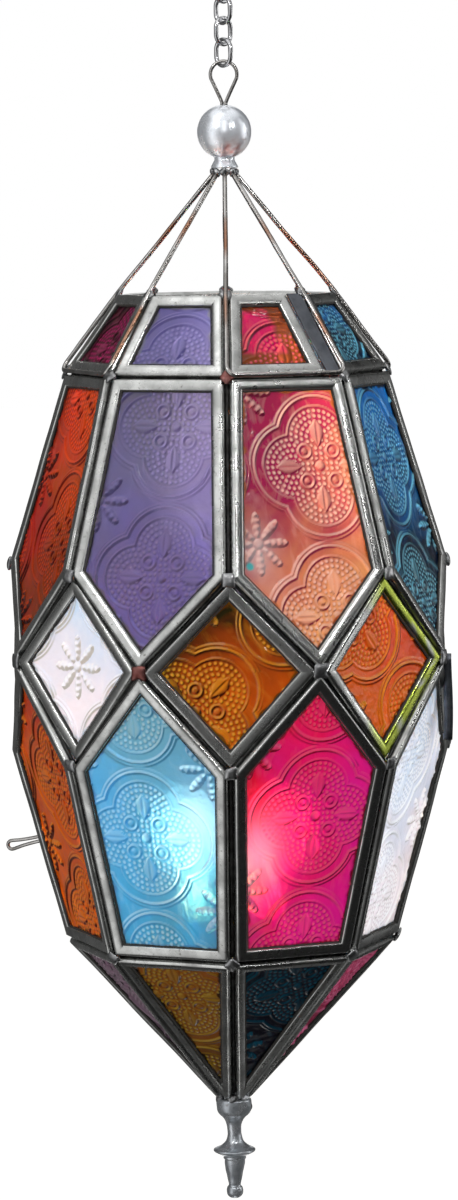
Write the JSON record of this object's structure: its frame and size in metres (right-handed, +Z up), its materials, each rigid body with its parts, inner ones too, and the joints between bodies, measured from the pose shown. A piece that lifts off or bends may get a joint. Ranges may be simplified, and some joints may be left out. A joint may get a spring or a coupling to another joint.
{
  "type": "ramadan fanous lantern",
  "caption": "Hanging lantern with eight sides: framed pressed-glass panes in five tiers, wire hanger, chain, hinged side door, tealight and finial.",
  "frame": {"origin": "the inner top of the hanging ring, where a hook bears", "axes": "+Z up along the hanging lantern, -Y towards the front that the picture shows, +X to the viewer's right"},
  "size_m": [0.1495, 0.1496, 0.4173],
  "materials": {
    "tin_frame": "dull hand-bent tin",
    "tin_strip": "dark tin",
    "solder": "satin solder",
    "hanger_wire": "bare iron wire",
    "chain_steel": "plated",
    "ball_metal": "satin",
    "finial_metal": "cast, satin",
    "plate_tin": "dull",
    "cup_aluminium": "bright",
    "wax": "waxy",
    "wick": "charred cotton",
    "glass_magenta": "pressed relief",
    "glass_blue": "pressed relief",
    "glass_maroon": "pressed relief",
    "glass_violet": "pressed relief",
    "glass_rose": "pressed relief",
    "glass_mauve": "pressed relief",
    "glass_red_orange": "pressed relief",
    "glass_amber": "pressed relief",
    "glass_orange": "pressed relief",
    "glass_clear": "pressed relief",
    "glass_light_blue": "pressed relief",
    "glass_crimson": "pressed relief",
    "glass_navy": "pressed relief",
    "glass_pink": "pressed relief",
    "glass_dull_mauve": "pressed relief",
    "glass_olive_amber": "pressed relief"
  },
  "bodies": {
    "ring": {"hanging_ring": "chain_steel"},
    "link_1": {"chain_link_1": "chain_steel"},
    "link_2": {"chain_link_2": "chain_steel"},
    "link_3": {"chain_link_3": "chain_steel"},
    "link_4": {"chain_link_4": "chain_steel"},
    "lantern": {"hanging_eye": "hanger_wire", "ball": "ball_metal", "neck_collar": "ball_metal", "hanger_wires": "hanger_wire", "crown_strip": "tin_strip", "crown_frames": "tin_frame", "upper_frames": "tin_frame", "diamond_frames": "tin_frame", "lower_frames": "tin_frame", "cone_frames": "tin_frame", "solder_beads": "solder", "finial": "finial_metal", "candle_plate": "plate_tin", "hinge_pin": "hanger_wire", "frame_knuckles": "tin_frame", "crown_glass_1": "glass_magenta", "crown_glass_2": "glass_blue", "crown_glass_3": "glass_maroon", "crown_glass_4": "glass_violet", "upper_glass_1": "glass_rose", "upper_glass_2": "glass_blue", "upper_glass_3": "glass_mauve", "upper_glass_4": "glass_clear", "upper_glass_5": "glass_blue", "upper_glass_6": "glass_rose", "upper_glass_7": "glass_red_orange", "upper_glass_8": "glass_mauve", "diamond_glass_1": "glass_amber", "diamond_glass_2": "glass_orange", "diamond_glass_3": "glass_clear", "diamond_glass_4": "glass_orange", "diamond_glass_5": "glass_amber", "diamond_glass_6": "glass_light_blue", "diamond_glass_7": "glass_crimson", "diamond_glass_8": "glass_clear", "lower_glass_1": "glass_crimson", "lower_glass_2": "glass_clear", "lower_glass_3": "glass_clear", "lower_glass_4": "glass_mauve", "lower_glass_5": "glass_light_blue", "lower_glass_6": "glass_orange", "lower_glass_7": "glass_light_blue", "cone_glass_1": "glass_navy", "cone_glass_2": "glass_pink", "cone_glass_3": "glass_dull_mauve", "cone_glass_4": "glass_olive_amber"},
    "door": {"door_frame": "tin_frame", "door_glass": "glass_amber", "door_handle": "hanger_wire", "door_knuckles": "tin_frame"},
    "tealight": {"candle_cup": "cup_aluminium", "candle_wax": "wax", "candle_wick": "wick"}
  },
  "joints": [
    {"name": "link_1_swing", "type": "hinge", "parent": "ring", "child": "link_1", "pos_m": [0, 0, -0.015], "axis": [0.7071, -0.7071, 0], "range_deg": [-45, 45]},
    {"name": "link_2_swing", "type": "hinge", "parent": "link_1", "child": "link_2", "pos_m": [0, 0, -0.0216], "axis": [0.7071, 0.7071, 0], "range_deg": [-45, 45]},
    {"name": "link_3_swing", "type": "hinge", "parent": "link_2", "child": "link_3", "pos_m": [0, 0, -0.02845], "axis": [0.7071, -0.7071, 0], "range_deg": [-45, 45]},
    {"name": "link_4_swing", "type": "hinge", "parent": "link_3", "child": "link_4", "pos_m": [0, 0, -0.0353], "axis": [0.7071, 0.7071, 0], "range_deg": [-45, 45]},
    {"name": "lantern_swing", "type": "hinge", "parent": "link_4", "child": "lantern", "pos_m": [0, 0, -0.04065], "axis": [1, 0, 0], "range_deg": [-40, 40]},
    {"name": "door_hinge", "type": "hinge", "parent": "lantern", "child": "door", "pos_m": [-0.03956, 0.03956, -0.327], "axis": [0.1863, -0.1863, -0.9647], "range_deg": [0, 110]},
    {"name": "tealight_lift", "type": "slide", "parent": "lantern", "child": "tealight", "axis": [0, 0, 1], "range_m": [0, 0.012]}
  ]
}
